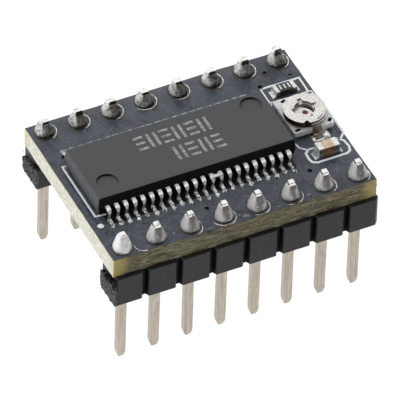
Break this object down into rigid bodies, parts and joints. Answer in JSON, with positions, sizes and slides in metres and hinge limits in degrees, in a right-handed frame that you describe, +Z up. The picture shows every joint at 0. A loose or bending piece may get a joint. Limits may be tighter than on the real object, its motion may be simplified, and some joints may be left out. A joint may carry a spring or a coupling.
{
  "type": "stepper driver module",
  "caption": "Small plug-in motor driver board with a gull-wing driver chip, a rotary current trimmer, chip parts and a pin header under each long edge.",
  "frame": {"origin": "plane of the header pins' tips, under the centre of the board", "axes": "+X along the board's long side towards the trimmer, +Y towards the rear header, +Z up, out of the component side"},
  "size_m": [0.0202, 0.015, 0.0117],
  "materials": {
    "solder_mask": "satin solder mask on glass-epoxy board, bare glass-epoxy at the edges",
    "header_plastic": "moulded, satin",
    "plated_pin": "tin-plated, satin",
    "solder": "satin, uneven",
    "mould_compound": "fine matt texture",
    "lead_frame": "tin-plated, satin",
    "silicon": "polished",
    "trimmer_ceramic": "matt ceramic",
    "resistive_ink": "matt",
    "rotor_metal": "stamped, satin",
    "resistor_body": "glazed, with tinned ends",
    "capacitor_body": "sintered ceramic, with tinned ends"
  },
  "bodies": {
    "board": {"pcb": "solder_mask", "header_front": "header_plastic", "header_rear": "header_plastic", "pin_front_1": "plated_pin", "pin_front_2": "plated_pin", "pin_front_3": "plated_pin", "pin_front_4": "plated_pin", "pin_front_5": "plated_pin", "pin_front_6": "plated_pin", "pin_front_7": "plated_pin", "pin_front_8": "plated_pin", "pin_rear_1": "plated_pin", "pin_rear_2": "plated_pin", "pin_rear_3": "plated_pin", "pin_rear_4": "plated_pin", "pin_rear_5": "plated_pin", "pin_rear_6": "plated_pin", "pin_rear_7": "plated_pin", "pin_rear_8": "plated_pin", "solder_front_1": "solder", "solder_front_2": "solder", "solder_front_3": "solder", "solder_front_4": "solder", "solder_front_5": "solder", "solder_front_6": "solder", "solder_front_7": "solder", "solder_front_8": "solder", "solder_rear_1": "solder", "solder_rear_2": "solder", "solder_rear_3": "solder", "solder_rear_4": "solder", "solder_rear_5": "solder", "solder_rear_6": "solder", "solder_rear_7": "solder", "solder_rear_8": "solder", "ic_package": "mould_compound", "ic_leads_front": "lead_frame", "ic_leads_rear": "lead_frame", "ic_thermal_pad": "lead_frame", "ic_die": "silicon", "trimmer_base": "trimmer_ceramic", "trimmer_track": "resistive_ink", "trimmer_eyelet": "lead_frame", "trimmer_wiper_terminal": "lead_frame", "trimmer_end_terminal_left": "lead_frame", "trimmer_end_terminal_right": "lead_frame", "resistor_top": "resistor_body", "capacitor_top": "capacitor_body", "sense_resistor_1": "resistor_body", "sense_resistor_2": "resistor_body", "supply_capacitor_1": "capacitor_body", "supply_capacitor_2": "capacitor_body", "charge_pump_capacitor": "capacitor_body", "regulator_capacitor": "capacitor_body", "bypass_capacitor": "capacitor_body", "oscillator_capacitor": "capacitor_body", "pull_up_resistor_1": "resistor_body", "pull_up_resistor_2": "resistor_body"},
    "rotor": {"trimmer_rotor": "rotor_metal"}
  },
  "joints": [
    {"name": "trimmer_turn", "type": "hinge", "parent": "board", "child": "rotor", "pos_m": [0.00793, 0, 0.0113], "axis": [0, 0, 1], "range_deg": [-115, 115]}
  ]
}
